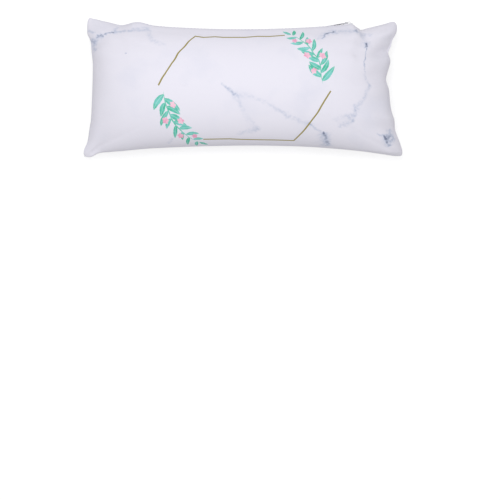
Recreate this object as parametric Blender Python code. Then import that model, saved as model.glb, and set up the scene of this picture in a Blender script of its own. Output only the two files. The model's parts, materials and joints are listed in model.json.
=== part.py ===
# Manicure hand rest: a zipped cloth cover over a soft insert, lying on its back panel.
# Metres. +X is to the right and +Y is towards the zipped long side. The origin is on the
# surface that the cushion lies on, under the middle of its outline.

import math

import bpy
import bmesh
from mathutils import Matrix, Vector

MM = 0.001

# Cover outline, along the seam. The halves run from the middle of the cushion.
HALF_LENGTH_LEFT = 134 * MM
HALF_LENGTH_RIGHT = 130 * MM
HALF_WIDTH_ZIP = 51 * MM
HALF_WIDTH_PLAIN = 51.5 * MM

# How far each ear reaches past the middles of its two sides
ZIP_LEFT_EAR_X = 6 * MM
ZIP_LEFT_EAR_Y = 12.5 * MM
ZIP_RIGHT_EAR_X = 10 * MM
ZIP_RIGHT_EAR_Y = 10.5 * MM
PLAIN_LEFT_EAR_X = 11 * MM
PLAIN_LEFT_EAR_Y = 11.5 * MM
PLAIN_RIGHT_EAR_X = 16 * MM
PLAIN_RIGHT_EAR_Y = 11 * MM

# How suddenly each side turns out into its ears: a higher power is a straighter side
LEFT_SIDE_POWER = 6.0
RIGHT_ZIP_POWER = 2.0
RIGHT_PLAIN_POWER = 1.5
PLAIN_SIDE_POWER = 2.4
ZIP_LEFT_EAR_POWER = 1.25
ZIP_RIGHT_EAR_POWER = 2.0
EAR_ROUNDING_POWER = 26.0

# Height
SEAM_HEIGHT = 27 * MM
FRONT_RISE = 34 * MM
BACK_DROP = 31 * MM
SETTLE = 0.5 * MM         # how softly the back panel turns onto its flat spot
END_POWER = 4.0           # a higher power is a fuller end
EAR_PINCH = 0.8           # share of the fullness that an ear loses
EAR_PINCH_LENGTH_POWER = 6
EAR_PINCH_WIDTH_POWER = 3
EAR_DROOP = 2.0 * MM
EAR_DROOP_POWER = 4

# Folds gathered by the short seams
SIDE_WAVE = 1.4 * MM
SIDE_WAVES = 3.5
SIDE_WAVE_POWER = 14      # a higher power keeps the wave nearer the short seams
PUCKER_DEPTH = 1.6 * MM
PUCKERS = 4.5
PUCKER_START = 0.62       # share of the half length at which the puckers begin
PUCKER_GROWTH = 2.5       # how soon a pucker is full depth behind the seam

FABRIC = 0.8 * MM
FABRIC_GROWTH = 12        # how soon the cloth is at full thickness behind the seam
CLEARANCE = 0.3 * MM

# Zip, which follows the bowed seam
ZIP_HALF_RUN = 100 * MM
ZIP_BOW = 5 * MM
ZIP_LEFT_DIP = 1.5 * MM   # the seam steps in past each end of the zip
ZIP_RIGHT_DIP = 5.5 * MM
ZIP_LEFT_DIP_SPAN = 22 * MM
ZIP_RIGHT_DIP_SPAN = 28 * MM
ZIP_DIP_POWER = 0.5       # below 1 the step is deepest close to the zip's end
TAPE_THICKNESS = 0.5 * MM
TAPE_SPLIT = 1.0 * MM     # between the two tapes and between the two coils
TAPE_FLAT_SHARE = 0.6     # of the way up to the tape's first row of stitches
COIL_WIDTH = 1.8 * MM
COIL_THICKNESS = 1.4 * MM

# Slider and pull tab
SLIDER_LENGTH = 8.4 * MM
SLIDER_TAPER = 0.4 * MM
PLATE = 0.6 * MM
FLANGE = 0.8 * MM
NECK_LENGTH = 1.8 * MM
NECK_THICKNESS = 0.4 * MM
BAIL_LENGTH = 5.2 * MM
BAIL_WIDTH = 1.0 * MM
BAIL_THICKNESS = 0.5 * MM
BAIL_GAP = 1.4 * MM
PULL_LENGTH = 19 * MM
PULL_WIDTH = 4.4 * MM
PULL_GRIP_WIDTH = 5.2 * MM
PULL_THICKNESS = 0.6 * MM
PULL_BAR = 0.6 * MM
PULL_EYE_LENGTH = 3.1 * MM
PULL_EYE_WIDTH = 2.4 * MM
PULL_SLOT_LENGTH = 4.0 * MM
PULL_SLOT_WIDTH = 1.6 * MM
PULL_SLOT_EDGE = 1.8 * MM
SLIDER_END_ROOM = 1.8 * MM

# Insert
INSERT_SHARE = 0.92       # of the cover's outline
INSERT_RIM_POWER = 8.0
INSERT_CORNER_POWER = 5.0
INSERT_MERGE = 0.01 * MM

# Colours (red, green, blue) and roughness
PRINTED_COLOR = (0.80, 0.79, 0.86)
PLAIN_COLOR = (0.78, 0.77, 0.84)
FIBRE_COLOR = (0.90, 0.90, 0.90)
TAPE_COLOR = (0.78, 0.77, 0.82)
NYLON_COLOR = (0.75, 0.75, 0.78)
ZINC_COLOR = (0.45, 0.45, 0.46)
CLOTH_ROUGHNESS = 0.9
NYLON_ROUGHNESS = 0.45
ZINC_ROUGHNESS = 0.35

# Mesh
ZIP_CELLS = 22
EAR_CELLS = 8
WIDTH_CELLS = 22
INSERT_LENGTH_CELLS = 28
INSERT_WIDTH_CELLS = 14
TAPE_ROWS = 2
COIL_SEGMENTS = 20
OUTLINE_STEPS = 400
SMOOTH_CLOTH = math.radians(60)
SMOOTH_SMALL = math.radians(40)

# Worked out from the sizes above
ZIP_RADIUS = (ZIP_HALF_RUN ** 2 + ZIP_BOW ** 2) / (2 * ZIP_BOW)
TAPE_DEPTH = FABRIC + 3 * CLEARANCE
COIL_FOOT = CLEARANCE
COIL_TOP = COIL_FOOT + COIL_THICKNESS
PLATE_FOOT = COIL_TOP + CLEARANCE
PLATE_TOP = PLATE_FOOT + PLATE
INNER_PLATE_TOP = -TAPE_THICKNESS - CLEARANCE
INNER_PLATE_FOOT = INNER_PLATE_TOP - PLATE
CHANNEL_HALF = TAPE_SPLIT / 2 + COIL_WIDTH + CLEARANCE
SLIDER_HALF = CHANNEL_HALF + FLANGE
SLOT_HALF = SLIDER_HALF + CLEARANCE
PULL_AXIS_RISE = PLATE_TOP + BAIL_GAP / 2
SLIDER_REST_X = ZIP_HALF_RUN - SLIDER_END_ROOM - SLIDER_LENGTH / 2
LENGTH_CELLS = ZIP_CELLS + 2 * EAR_CELLS


def between(start, end, share):
    return start + (end - start) * share


def ease(share):
    share = min(1.0, max(0.0, share))
    return share * share * (3 - 2 * share)


# Outline: four seams in plan, u from -1 at the left to 1, v from -1 to 1 at the zip

def zip_ear(side):
    """The tip of the ear at the left (-1) or right (1) end of the zipped seam."""
    if side < 0:
        return (-HALF_LENGTH_LEFT - ZIP_LEFT_EAR_X, HALF_WIDTH_ZIP + ZIP_LEFT_EAR_Y)
    return (HALF_LENGTH_RIGHT + ZIP_RIGHT_EAR_X, HALF_WIDTH_ZIP + ZIP_RIGHT_EAR_Y)


def plain_ear(side):
    if side < 0:
        return (-HALF_LENGTH_LEFT - PLAIN_LEFT_EAR_X, -HALF_WIDTH_PLAIN - PLAIN_LEFT_EAR_Y)
    return (HALF_LENGTH_RIGHT + PLAIN_RIGHT_EAR_X, -HALF_WIDTH_PLAIN - PLAIN_RIGHT_EAR_Y)


def zip_seam(u):
    """A circular bow along the zip, a step in past its end, then a rise to the ear."""
    side = -1 if u < 0 else 1
    ear_x, ear_y = zip_ear(side)
    x = abs(u * ear_x)
    on_bow = min(x, ZIP_HALF_RUN)
    y = HALF_WIDTH_ZIP + ZIP_RADIUS - math.sqrt(ZIP_RADIUS ** 2 - on_bow ** 2)
    beyond = x - ZIP_HALF_RUN
    if beyond > 0:
        power = ZIP_LEFT_EAR_POWER if side < 0 else ZIP_RIGHT_EAR_POWER
        dip = ZIP_LEFT_DIP if side < 0 else ZIP_RIGHT_DIP
        span = ZIP_LEFT_DIP_SPAN if side < 0 else ZIP_RIGHT_DIP_SPAN
        y += (ear_y - y) * (beyond / (abs(ear_x) - ZIP_HALF_RUN)) ** power
        y -= dip * math.sin(math.pi * min(1.0, beyond / span) ** ZIP_DIP_POWER) ** 2
    return (side * x, y)


def plain_seam(u):
    ear_x, ear_y = plain_ear(-1 if u < 0 else 1)
    y = between(-HALF_WIDTH_PLAIN, ear_y, abs(u) ** PLAIN_SIDE_POWER)
    return (abs(u) * ear_x, y)


def left_seam(v):
    ear_x, ear_y = zip_ear(-1) if v > 0 else plain_ear(-1)
    return (between(-HALF_LENGTH_LEFT, ear_x, abs(v) ** LEFT_SIDE_POWER), abs(v) * ear_y)


def right_seam(v):
    ear_x, ear_y = zip_ear(1) if v > 0 else plain_ear(1)
    power = RIGHT_ZIP_POWER if v > 0 else RIGHT_PLAIN_POWER
    wave = SIDE_WAVE * math.sin(math.pi * SIDE_WAVES * v) * (1 - v ** 4)
    return (between(HALF_LENGTH_RIGHT, ear_x, abs(v) ** power) - wave, abs(v) * ear_y)


def raw_plan(u, v):
    """A point of the sheet stretched between the four seams, its corners rounded off."""
    reach = (abs(u) ** EAR_ROUNDING_POWER + abs(v) ** EAR_ROUNDING_POWER) ** (1 / EAR_ROUNDING_POWER)
    if reach > 0:
        tighten = max(abs(u), abs(v)) / reach
        u *= tighten
        v *= tighten
    across = (u + 1) / 2
    along = (v + 1) / 2
    edges = (zip_seam(u), plain_seam(u), left_seam(v), right_seam(v))
    corners = (zip_ear(-1), zip_ear(1), plain_ear(-1), plain_ear(1))
    point = []
    for axis in (0, 1):
        top, bottom, left, right = (edge[axis] for edge in edges)
        top_left, top_right, low_left, low_right = (corner[axis] for corner in corners)
        ruled = between(bottom, top, along) + between(left, right, across)
        low = between(low_left, low_right, across)
        high = between(top_left, top_right, across)
        point.append(ruled - between(low, high, along))
    return point


def outline_middle():
    """The middle of the outline's box, which becomes the origin."""
    turns = [2 * k / OUTLINE_STEPS - 1 for k in range(OUTLINE_STEPS + 1)]
    rim = [raw_plan(t, side) for t in turns for side in (-1, 1)]
    rim += [raw_plan(side, t) for t in turns for side in (-1, 1)]
    xs, ys = zip(*rim)
    return ((min(xs) + max(xs)) / 2, (min(ys) + max(ys)) / 2)


MIDDLE_X, MIDDLE_Y = outline_middle()
SHRINK_X = 1 - FABRIC / (HALF_LENGTH_RIGHT + ZIP_RIGHT_EAR_X)
SHRINK_Y = 1 - FABRIC / HALF_WIDTH_ZIP


def plan(u, v):
    x, y = raw_plan(u, v)
    return (x - MIDDLE_X, y - MIDDLE_Y)


def plan_inside(u, v):
    """The same point on the inner face of the cloth."""
    x, y = raw_plan(u, v)
    return (x * SHRINK_X - MIDDLE_X, y * SHRINK_Y - MIDDLE_Y)


# Heights of the two panels' faces over that outline

def fullness(u, v):
    """0 along the seam, 1 at the crown, thinned towards the ears."""
    ends = math.sqrt(max(0.0, 1 - abs(u) ** END_POWER))
    sides = math.sqrt(max(0.0, 1 - v * v))
    pinch = abs(u) ** EAR_PINCH_LENGTH_POWER * abs(v) ** EAR_PINCH_WIDTH_POWER
    return ends * sides * (1 - EAR_PINCH * pinch)


def past_zip(u):
    """0 along the zip, 1 at the ears."""
    zip_end = ZIP_HALF_RUN / abs(zip_ear(-1 if u < 0 else 1)[0])
    return max(0.0, (abs(u) - zip_end) / (1 - zip_end))


def seam_height(u, v):
    droop = EAR_DROOP * ease(past_zip(u)) * v ** EAR_DROOP_POWER
    near_end = abs(u) ** SIDE_WAVE_POWER * (1 - abs(v))
    wave = SIDE_WAVE * near_end * math.sin(math.pi * SIDE_WAVES * v)
    return SEAM_HEIGHT - droop + wave


def zip_opening(u, v):
    """How far each panel stands back from the seam's middle line beside the zip."""
    closing = ease(past_zip(u) / math.sin(math.pi / 2 / EAR_CELLS))
    return (SLOT_HALF - CLEARANCE / 2) * (1 - closing) * max(0.0, v) ** 2


def pucker(u, v, full):
    start = ease((abs(u) - PUCKER_START) / (1 - PUCKER_START))
    fold = 0.5 - 0.5 * math.cos(2 * math.pi * PUCKERS * (v + 1) / 2)
    return PUCKER_DEPTH * start * fold * min(1.0, PUCKER_GROWTH * full) * (1 - v * v)


def cloth(full):
    """The cloth's thickness in height, which closes to nothing at the seam's line."""
    return FABRIC * (1 - (1 - full) ** FABRIC_GROWTH)


def front_inside(u, v):
    full = fullness(u, v)
    apart = CLEARANCE / 2 + zip_opening(u, v) * (1 - full)
    return seam_height(u, v) + apart + FRONT_RISE * full - pucker(u, v, full)


def front_outside(u, v):
    return front_inside(u, v) + cloth(fullness(u, v))


def back_outside(u, v):
    """The back panel's face, which turns onto the surface below it and lies flat there."""
    full = fullness(u, v)
    apart = CLEARANCE / 2 + zip_opening(u, v) * (1 - full)
    height = seam_height(u, v) - apart - BACK_DROP * full + pucker(u, v, full)
    if height <= -SETTLE:
        return 0.0
    if height < SETTLE:
        return (height + SETTLE) ** 2 / (4 * SETTLE)
    return height


def back_inside(u, v):
    return back_outside(u, v) + cloth(fullness(u, v))


# Rows and columns of the panels' mesh

def column(index):
    """u of a column: even along the zip, closer together towards the ears."""
    from_middle = index - LENGTH_CELLS / 2
    side = -1 if from_middle < 0 else 1
    zip_end = ZIP_HALF_RUN / abs(zip_ear(side)[0])
    beyond = abs(from_middle) - ZIP_CELLS / 2
    if beyond <= 0:
        return from_middle / (ZIP_CELLS / 2) * zip_end
    return side * between(zip_end, 1.0, math.sin(math.pi / 2 * beyond / EAR_CELLS))


def row(index):
    return math.sin(math.pi / 2 * (2 * index / WIDTH_CELLS - 1))


# Making objects

def clear_scene():
    for obj in list(bpy.data.objects):
        bpy.data.objects.remove(obj, do_unlink=True)


def material(name, color, roughness, metallic=0.0):
    made = bpy.data.materials.new(name)
    made.use_nodes = True
    shader = made.node_tree.nodes["Principled BSDF"]
    shader.inputs["Base Color"].default_value = (*color, 1.0)
    shader.inputs["Roughness"].default_value = roughness
    shader.inputs["Metallic"].default_value = metallic
    return made


def to_mesh(name, bm):
    """The finished mesh, its faces turned outwards."""
    bmesh.ops.recalc_face_normals(bm, faces=bm.faces[:])
    if bm.calc_volume(signed=True) < 0:
        bmesh.ops.reverse_faces(bm, faces=bm.faces[:])
    mesh = bpy.data.meshes.new(name)
    bm.to_mesh(mesh)
    bm.free()
    return mesh


def add_object(name, bm, finish, smooth_angle=None):
    mesh = to_mesh(name, bm)
    mesh.materials.append(finish)
    if smooth_angle:
        mesh.shade_smooth()
        mesh.set_sharp_from_angle(angle=smooth_angle)
    obj = bpy.data.objects.new(name, mesh)
    bpy.context.scene.collection.objects.link(obj)
    return obj


def add_empty(name, location, turn=0.0):
    empty = bpy.data.objects.new(name, None)
    empty.location = location
    empty.rotation_euler.z = turn
    bpy.context.scene.collection.objects.link(empty)
    return empty


def box(bm, low, high):
    made = bmesh.ops.create_cube(bm, size=1.0)
    for vert in made["verts"]:
        for axis in range(3):
            vert.co[axis] = high[axis] if vert.co[axis] > 0 else low[axis]


def prism(bm, outline, low, high, to_point):
    """Extrudes an outline from low to high; to_point turns (a, b, height) to a place."""
    face = bm.faces.new([bm.verts.new(to_point(a, b, low)) for a, b in outline])
    made = bmesh.ops.extrude_face_region(bm, geom=[face])
    top = [item for item in made["geom"] if isinstance(item, bmesh.types.BMVert)]
    rise = Vector(to_point(0, 0, high)) - Vector(to_point(0, 0, low))
    bmesh.ops.translate(bm, verts=top, vec=rise)


def boolean(obj, name, bm, operation):
    """Cuts or joins a shape, which stays in the scene as a hidden guide."""
    tool = bpy.data.objects.new(name, to_mesh(name, bm))
    tool.hide_render = True
    tool.display_type = "WIRE"
    bpy.context.scene.collection.objects.link(tool)
    tool.parent = obj
    step = obj.modifiers.new(name, "BOOLEAN")
    step.operation = operation
    step.object = tool
    step.solver = "EXACT"


# Sub-parts

def make_panel(name, outside, inside, finish):
    """One cloth panel: its outer face, its inner face and the edge between them."""
    bm = bmesh.new()
    bmesh.ops.create_grid(bm, x_segments=LENGTH_CELLS, y_segments=WIDTH_CELLS, size=1.0)
    outer = bm.verts[:]
    made = bmesh.ops.extrude_face_region(bm, geom=bm.faces[:], use_keep_orig=True)
    inner = [item for item in made["geom"] if isinstance(item, bmesh.types.BMVert)]
    for verts, place, height in ((outer, plan, outside), (inner, plan_inside, inside)):
        for vert in verts:
            u = column(round((vert.co.x + 1) / 2 * LENGTH_CELLS))
            v = row(round((vert.co.y + 1) / 2 * WIDTH_CELLS))
            vert.co = (*place(u, v), height(u, v))
    return add_object(name, bm, finish, smooth_angle=SMOOTH_CLOTH)


def make_insert(finish):
    """The stuffed bag: it fills the cover but for the ears and tapers to its own rim."""
    bm = bmesh.new()
    bmesh.ops.create_grid(
        bm, x_segments=INSERT_LENGTH_CELLS, y_segments=INSERT_WIDTH_CELLS, size=1.0)
    top = bm.verts[:]
    made = bmesh.ops.duplicate(bm, geom=bm.faces[:] + bm.edges[:] + top)
    below = [item for item in made["geom"] if isinstance(item, bmesh.types.BMVert)]
    for verts, upper in ((top, True), (below, False)):
        for vert in verts:
            s = math.sin(math.pi / 2 * vert.co.x)
            t = math.sin(math.pi / 2 * vert.co.y)
            power = INSERT_CORNER_POWER
            reach = (abs(s) ** power + abs(t) ** power) ** (1 / power)
            tighten = max(abs(s), abs(t)) / reach if reach > 0 else 1.0
            u = INSERT_SHARE * s * tighten
            v = INSERT_SHARE * t * tighten
            rim = math.sqrt(max(0.0, 1 - max(abs(s), abs(t)) ** INSERT_RIM_POWER))
            high = front_inside(u, v) - CLEARANCE
            low = back_inside(u, v) + CLEARANCE
            middle = (high + low) / 2
            vert.co = (*plan_inside(u, v), between(middle, high if upper else low, rim))
    bmesh.ops.remove_doubles(bm, verts=bm.verts[:], dist=INSERT_MERGE)
    return add_object("inner_cushion", bm, finish, smooth_angle=SMOOTH_CLOTH)


def make_tape(name, side, inside, finish):
    """A zip tape: flat under its coil, then close behind the inner face of its panel."""
    first = EAR_CELLS - 1
    last = EAR_CELLS + ZIP_CELLS + 1
    bm = bmesh.new()
    rings = []
    for index in range(first, last + 1):
        u = column(index)
        x, seam_y = plan(u, 1.0)
        first_row = abs(inside(u, row(WIDTH_CELLS - 1)) - SEAM_HEIGHT)
        flat = min(SLOT_HALF - CLEARANCE, first_row * TAPE_FLAT_SHARE)
        face = [(x, seam_y - TAPE_DEPTH, SEAM_HEIGHT + side * TAPE_SPLIT / 2)]
        face.append((x, seam_y - TAPE_DEPTH, SEAM_HEIGHT + side * flat))
        for step in range(1, TAPE_ROWS + 1):
            v = row(WIDTH_CELLS - step)
            wall_x, wall_y = plan_inside(u, v)
            wall_y = min(wall_y - CLEARANCE, seam_y - TAPE_DEPTH)
            face.append((wall_x, wall_y, inside(u, v)))
        behind = [(x, y - TAPE_THICKNESS, z) for x, y, z in reversed(face)]
        rings.append([bm.verts.new(point) for point in face + behind])
    bm.faces.new(rings[0])
    bm.faces.new(rings[-1])
    for ring, following in zip(rings, rings[1:]):
        for k in range(len(ring)):
            bm.faces.new((ring[k - 1], ring[k], following[k], following[k - 1]))
    return add_object(name, bm, finish)


def make_coil(name, side, finish):
    """One row of the coil as a plain cord with a rounded back, swept along the bow."""
    near = TAPE_SPLIT / 2
    far = near + COIL_WIDTH
    round_off = COIL_THICKNESS / 4
    profile = [
        (COIL_FOOT, near), (COIL_TOP - round_off, near), (COIL_TOP, near + round_off),
        (COIL_TOP, far - round_off), (COIL_TOP - round_off, far), (COIL_FOOT, far)]
    radius = ZIP_RADIUS + TAPE_DEPTH
    half_angle = math.asin(ZIP_HALF_RUN / ZIP_RADIUS)
    bm = bmesh.new()
    ring = [
        bm.verts.new((0, out - radius, side * up)) for out, up in profile]
    face = bm.faces.new(ring)
    bmesh.ops.rotate(
        bm, verts=ring, cent=(0, 0, 0), matrix=Matrix.Rotation(-half_angle, 3, "Z"))
    bmesh.ops.spin(
        bm, geom=[face], cent=(0, 0, 0), axis=(0, 0, 1), angle=2 * half_angle,
        steps=COIL_SEGMENTS, use_duplicate=False)
    bmesh.ops.translate(bm, verts=bm.verts[:], vec=bow_centre())
    return add_object(name, bm, finish, smooth_angle=SMOOTH_SMALL)


def bow_centre():
    """The centre of the circle that the zip follows, far out on the zipped side."""
    return (-MIDDLE_X, HALF_WIDTH_ZIP + ZIP_RADIUS - MIDDLE_Y, SEAM_HEIGHT)


def make_slider(finish):
    """A cast slider: two plates joined by a neck, with side flanges and a bail."""
    rear = -SLIDER_LENGTH / 2
    front = SLIDER_LENGTH / 2
    shoulder = front - SLIDER_LENGTH / 3
    corner = PLATE
    outline = [
        (rear, SLIDER_TAPER + corner - SLIDER_HALF), (rear + corner, SLIDER_TAPER - SLIDER_HALF),
        (shoulder, -SLIDER_HALF), (front - corner, -SLIDER_HALF), (front, corner - SLIDER_HALF)]
    outline += [(x, -z) for x, z in reversed(outline)]
    bm = bmesh.new()
    prism(bm, outline, INNER_PLATE_FOOT, PLATE_TOP, lambda x, z, out: (x, out, z))
    slider = add_object("zip_slider", bm, finish, smooth_angle=SMOOTH_SMALL)

    past = SLIDER_LENGTH
    channel = bmesh.new()
    box(channel, (-past, INNER_PLATE_TOP, -CHANNEL_HALF), (past, PLATE_FOOT, CHANNEL_HALF))
    boolean(slider, "coil_channel", channel, "DIFFERENCE")
    tape_gap = bmesh.new()
    box(tape_gap, (-past, INNER_PLATE_TOP, -past), (past, COIL_FOOT, past))
    boolean(slider, "tape_gap", tape_gap, "DIFFERENCE")
    neck = bmesh.new()
    box(neck, (front - corner - NECK_LENGTH, INNER_PLATE_FOOT + PLATE / 2, -NECK_THICKNESS / 2),
        (front - corner, PLATE_TOP - PLATE / 2, NECK_THICKNESS / 2))
    boolean(slider, "neck", neck, "UNION")
    boolean(slider, "bail", bail_shape(), "UNION")
    return slider


def bail_shape():
    """The arch over the outer plate that holds the pull tab."""
    half = BAIL_LENGTH / 2
    inside = half - BAIL_THICKNESS
    foot = PLATE_TOP - PLATE / 2
    under = PLATE_TOP + BAIL_GAP
    top = under + BAIL_THICKNESS
    arch = [
        (-half, foot), (-half, top - BAIL_THICKNESS), (-inside, top), (inside, top),
        (half, top - BAIL_THICKNESS), (half, foot), (inside, foot),
        (inside, under), (-inside, under), (-inside, foot)]
    bm = bmesh.new()
    prism(bm, arch, -BAIL_WIDTH / 2, BAIL_WIDTH / 2, lambda x, out, z: (x, out, z))
    return bm


def make_pull(finish):
    """A stamped tab: a bar under the bail, an eye, then a widening grip with a slot."""
    bar_end = PULL_BAR / 2
    far = bar_end - PULL_LENGTH
    corner = PULL_WIDTH / 4
    neck = -PULL_BAR / 2 - PULL_EYE_LENGTH - PULL_BAR
    outline = [
        (bar_end, PULL_WIDTH / 2), (neck, PULL_WIDTH / 2), (far + 2 * corner, PULL_GRIP_WIDTH / 2),
        (far + corner / 2, PULL_GRIP_WIDTH / 2 - corner / 2), (far, PULL_GRIP_WIDTH / 2 - 1.5 * corner)]
    outline += [(x, -z) for x, z in reversed(outline)]
    half = PULL_THICKNESS / 2
    bm = bmesh.new()
    prism(bm, outline, -half, half, lambda x, z, out: (x, out, z))
    pull = add_object("zip_pull", bm, finish, smooth_angle=SMOOTH_SMALL)
    eye = bmesh.new()
    box(eye, (-PULL_BAR / 2 - PULL_EYE_LENGTH, -PULL_THICKNESS, -PULL_EYE_WIDTH / 2),
        (-PULL_BAR / 2, PULL_THICKNESS, PULL_EYE_WIDTH / 2))
    boolean(pull, "pull_eye", eye, "DIFFERENCE")
    slot = bmesh.new()
    slot_far = far + PULL_SLOT_EDGE
    box(slot, (slot_far, -PULL_THICKNESS, -PULL_SLOT_WIDTH / 2),
        (slot_far + PULL_SLOT_LENGTH, PULL_THICKNESS, PULL_SLOT_WIDTH / 2))
    boolean(pull, "pull_slot", slot, "DIFFERENCE")
    return pull


def main():
    clear_scene()
    printed = material("printed_velvet", PRINTED_COLOR, CLOTH_ROUGHNESS)
    plain = material("plain_cloth", PLAIN_COLOR, CLOTH_ROUGHNESS)
    fibre = material("fibre_bag", FIBRE_COLOR, CLOTH_ROUGHNESS)
    tape = material("woven_tape", TAPE_COLOR, CLOTH_ROUGHNESS)
    nylon = material("nylon_coil", NYLON_COLOR, NYLON_ROUGHNESS)
    zinc = material("plated_zinc", ZINC_COLOR, ZINC_ROUGHNESS, metallic=1.0)

    make_panel("front_panel", front_outside, front_inside, printed)
    make_panel("back_panel", back_outside, back_inside, plain)
    make_insert(fibre)
    make_tape("zip_tape_upper", 1, front_inside, tape)
    make_tape("zip_tape_lower", -1, back_inside, tape)
    make_coil("zip_coil_upper", 1, nylon)
    make_coil("zip_coil_lower", -1, nylon)

    # The slider turns about the bow's centre, so it stays on the zip as it travels
    chain_radius = ZIP_RADIUS + TAPE_DEPTH
    travel = add_empty("zip_bow_centre", bow_centre(), math.asin(SLIDER_REST_X / ZIP_RADIUS))
    slider = make_slider(zinc)
    slider.parent = travel
    slider.location = (0, -chain_radius, 0)
    pull = make_pull(zinc)
    pull.parent = slider
    pull.location = (0, PULL_AXIS_RISE, 0)


main()
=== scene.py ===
import json
import math

import bmesh
import bpy
from mathutils import Matrix, Vector, noise
from mathutils.bvhtree import BVHTree


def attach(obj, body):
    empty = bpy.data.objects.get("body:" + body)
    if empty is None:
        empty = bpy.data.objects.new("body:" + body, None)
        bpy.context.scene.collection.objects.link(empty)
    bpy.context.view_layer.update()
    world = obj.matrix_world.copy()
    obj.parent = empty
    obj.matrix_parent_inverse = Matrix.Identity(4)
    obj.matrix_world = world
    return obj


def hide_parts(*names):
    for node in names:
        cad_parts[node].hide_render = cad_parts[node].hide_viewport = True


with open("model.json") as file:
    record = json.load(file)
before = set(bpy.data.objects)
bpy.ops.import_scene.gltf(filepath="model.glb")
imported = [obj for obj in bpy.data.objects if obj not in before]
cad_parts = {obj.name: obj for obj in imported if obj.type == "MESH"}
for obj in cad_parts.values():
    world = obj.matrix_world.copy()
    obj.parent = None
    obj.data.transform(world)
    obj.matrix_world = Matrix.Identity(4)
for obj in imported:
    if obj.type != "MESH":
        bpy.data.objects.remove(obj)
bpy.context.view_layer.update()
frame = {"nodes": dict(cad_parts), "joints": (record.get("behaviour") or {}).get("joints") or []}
scene = bpy.context.scene
mm = 0.001
print("frame loaded:", len(frame["nodes"]), "nodes")


def mix(start, end, share):
    return start + (end - start) * share


def ease(share):
    share = min(1.0, max(0.0, share))
    return share * share * (3 - 2 * share)


def curveThrough(points, at):
    # smooth curve through (along, offset) pairs, both in mm
    points = sorted(points)
    at = min(points[-1][0], max(points[0][0], at))
    k = max(i for i in range(len(points) - 1) if points[i][0] <= at or i == 0)
    (x0, y0), (x1, y1) = points[k], points[k + 1]

    def slope(i):
        before, after = points[max(0, i - 1)], points[min(len(points) - 1, i + 1)]
        return (after[1] - before[1]) / (after[0] - before[0])

    span = x1 - x0
    t = (at - x0) / span
    return (y0 * (1 + 2 * t) * (1 - t) ** 2 + slope(k) * span * t * (1 - t) ** 2
            + y1 * t * t * (3 - 2 * t) + slope(k + 1) * span * t * t * (t - 1))


def addObject(name, bm, body="cushion", smooth=True):
    mesh = bpy.data.meshes.new(name)
    bm.to_mesh(mesh)
    bm.free()
    if smooth:
        mesh.shade_smooth()
    made = bpy.data.objects.new(name, mesh)
    scene.collection.objects.link(made)
    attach(made, body)
    return made


# camera: straight down, as the photograph was taken; the frame's width counts at the seams' height
view = {"centre": (5.3 * mm, -145.7 * mm), "height": 1.60, "seams": 27.0 * mm, "frameWidth": 446.5 * mm,
        "sensor": 36.0}
cameraData = bpy.data.cameras.new("camera")
cameraData.sensor_width = view["sensor"]
cameraData.lens = view["sensor"] * (view["height"] - view["seams"]) / view["frameWidth"]
camera = bpy.data.objects.new("camera", cameraData)
camera.location = (*view["centre"], view["height"])
scene.collection.objects.link(camera)
scene.camera = camera

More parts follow.
